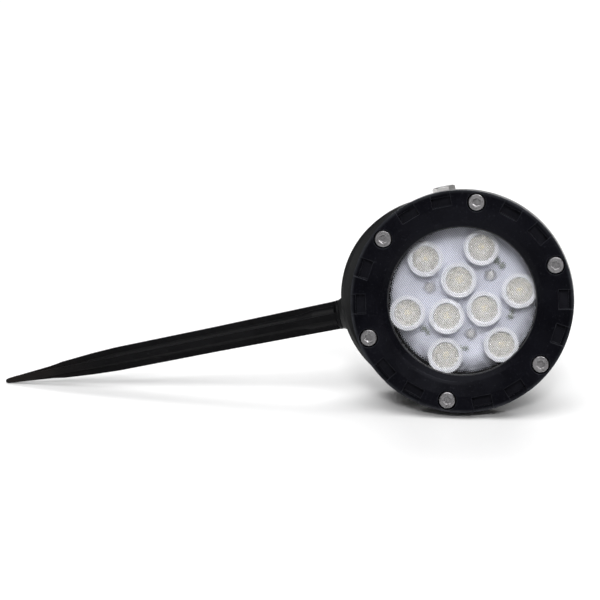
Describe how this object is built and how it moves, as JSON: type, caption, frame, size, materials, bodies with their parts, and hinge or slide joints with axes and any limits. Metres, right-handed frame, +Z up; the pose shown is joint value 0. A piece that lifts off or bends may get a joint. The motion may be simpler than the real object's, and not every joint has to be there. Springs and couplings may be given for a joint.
{
  "type": "underwater pond light",
  "caption": "Round underwater pond light: sealed lamp head behind clear glass, tilting in a U-shaped yoke that swivels on a ground spike.",
  "frame": {"origin": "centre of the overall box on the ground plane, the light lying on its rim, yoke and spike point", "axes": "+Z up from the ground, -Y the side that the glass faces, -X the way the ground spike points"},
  "size_m": [0.2898, 0.0904, 0.1105],
  "materials": {
    "black_plastic": "moulded, fine-grained, slight sheen",
    "yoke_black": "moulded, smooth",
    "spike_black": "moulded, low gloss",
    "stainless": "turned stainless",
    "bright_bolt": "bright stainless",
    "clear_glass": "toughened, prismatic inside",
    "gasket_grey": "translucent silicone",
    "black_rubber": "sealing rubber",
    "gland_black": "moulded nylon",
    "brass": "knurled",
    "nylon": "natural nylon",
    "aluminium": "turned",
    "board_white": "white solder mask",
    "circuit_green": "solder mask",
    "ferrite": "ferrite",
    "capacitor_sleeve": "shrink sleeve",
    "black_epoxy": "moulded package",
    "wire_red": "insulation",
    "phosphor": "silicone over phosphor",
    "lens_clear": "clear acrylic",
    "holder_white": "white nylon"
  },
  "bodies": {
    "spike": {"ground_spike": "spike_black", "spike_insert": "brass", "spike_bolt": "stainless", "spike_washer": "nylon"},
    "bracket": {"yoke": "yoke_black"},
    "lamp_head": {"bezel_ring": "black_plastic", "bezel_screws": "stainless", "board_screws": "bright_bolt", "driver_board": "circuit_green", "driver_capacitor": "capacitor_sleeve", "driver_inductor": "ferrite", "driver_rectifier": "black_epoxy", "driver_spacers": "nylon", "front_glass": "clear_glass", "gland_body": "gland_black", "gland_locknut": "gland_black", "gland_nut": "gland_black", "gland_oring": "black_rubber", "gland_seal": "black_rubber", "glass_gasket": "gasket_grey", "heat_spreader": "aluminium", "housing_oring": "black_rubber", "lead_wires": "wire_red", "led_board": "board_white", "led_chip_1": "phosphor", "led_chip_2": "phosphor", "led_chip_3": "phosphor", "led_chip_4": "phosphor", "led_chip_5": "phosphor", "led_chip_6": "phosphor", "led_chip_7": "phosphor", "led_chip_8": "phosphor", "led_chip_9": "phosphor", "led_lens_1": "lens_clear", "led_lens_2": "lens_clear", "led_lens_3": "lens_clear", "led_lens_4": "lens_clear", "led_lens_5": "lens_clear", "led_lens_6": "lens_clear", "led_lens_7": "lens_clear", "led_lens_8": "lens_clear", "led_lens_9": "lens_clear", "lens_holder_1": "holder_white", "lens_holder_2": "holder_white", "lens_holder_3": "holder_white", "lens_holder_4": "holder_white", "lens_holder_5": "holder_white", "lens_holder_6": "holder_white", "lens_holder_7": "holder_white", "lens_holder_8": "holder_white", "lens_holder_9": "holder_white", "pivot_bolts": "bright_bolt", "pivot_inserts": "brass", "pivot_washers": "nylon", "rear_housing": "black_plastic", "threaded_inserts": "brass"}
  },
  "joints": [
    {"name": "spike_swivel", "type": "hinge", "parent": "spike", "child": "bracket", "pos_m": [0.02716, -0.00101, 0.03829], "axis": [0.9759, 0.0501, 0.2126], "continuous": true},
    {"name": "head_tilt", "type": "hinge", "parent": "bracket", "child": "lamp_head", "pos_m": [0.08923, 0.00217, 0.0518], "axis": [-0.2184, 0.2237, 0.9499], "range_deg": [-7, 90]}
  ]
}
